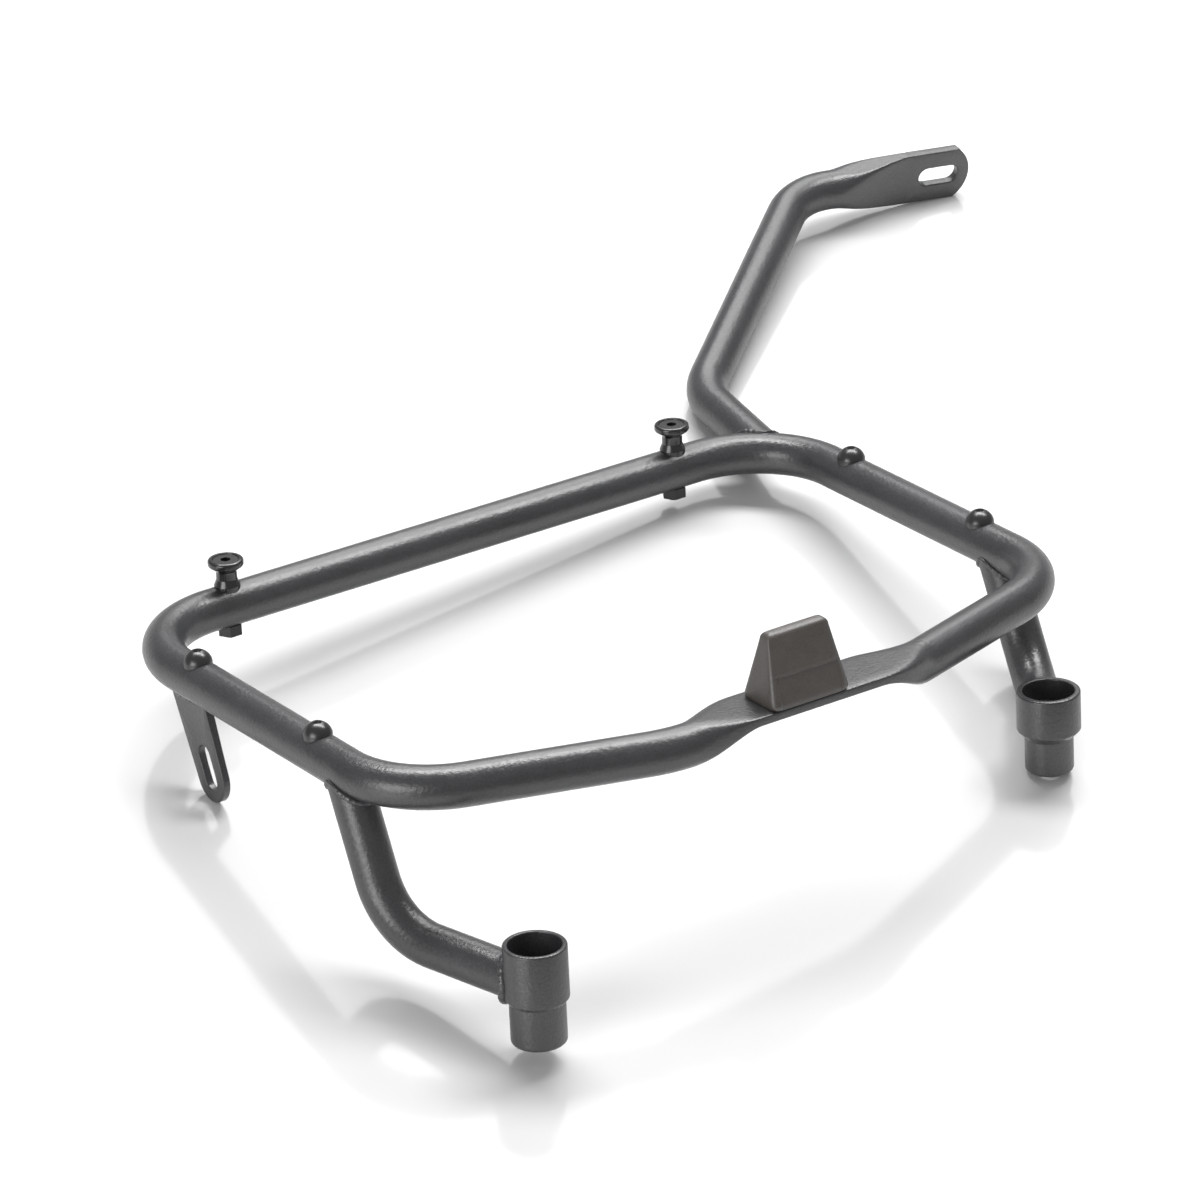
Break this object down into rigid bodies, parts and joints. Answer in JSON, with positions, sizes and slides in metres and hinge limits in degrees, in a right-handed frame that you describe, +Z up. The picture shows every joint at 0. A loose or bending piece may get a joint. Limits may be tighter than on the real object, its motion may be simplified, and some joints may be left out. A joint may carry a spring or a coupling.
{
  "type": "pannier frame",
  "caption": "Side pannier frame of a motorbike: bent tube loop with legs, stepped sockets, a slotted arm and tab, spool studs, rubber buffers and a latch block.",
  "frame": {"origin": "on the floor, under the middle of the bounding box of the frame as it lies", "axes": "+Z up from the floor, +X along the spool rail towards the arm, +Y from the latch rail towards the spool rail"},
  "size_m": [0.5433, 0.4427, 0.1147],
  "materials": {
    "frame_paint": "satin fine-textured powder coat",
    "spool_black": "smooth black",
    "bolt_black": "black oxide steel",
    "buffer_rubber": "smooth rubber",
    "latch_plastic": "matt moulded"
  },
  "bodies": {
    "root": {"loop_tube": "frame_paint", "rear_leg_tube": "frame_paint", "front_leg_tube": "frame_paint", "rear_socket": "frame_paint", "front_socket": "frame_paint", "arm_tube": "frame_paint", "tab_plate": "frame_paint", "rear_leg_loop_weld": "frame_paint", "rear_leg_socket_weld": "frame_paint", "front_leg_loop_weld": "frame_paint", "front_leg_socket_weld": "frame_paint", "arm_loop_weld": "frame_paint", "tab_loop_weld": "frame_paint", "latch_block": "latch_plastic", "latch_screws": "bolt_black", "rear_spool": "spool_black", "rear_spool_bolt": "bolt_black", "rear_spool_nut": "bolt_black", "rear_lower_buffer": "buffer_rubber", "rear_upper_buffer": "buffer_rubber", "front_spool": "spool_black", "front_spool_bolt": "bolt_black", "front_spool_nut": "bolt_black", "front_lower_buffer": "buffer_rubber", "front_upper_buffer": "buffer_rubber"}
  },
  "joints": []
}
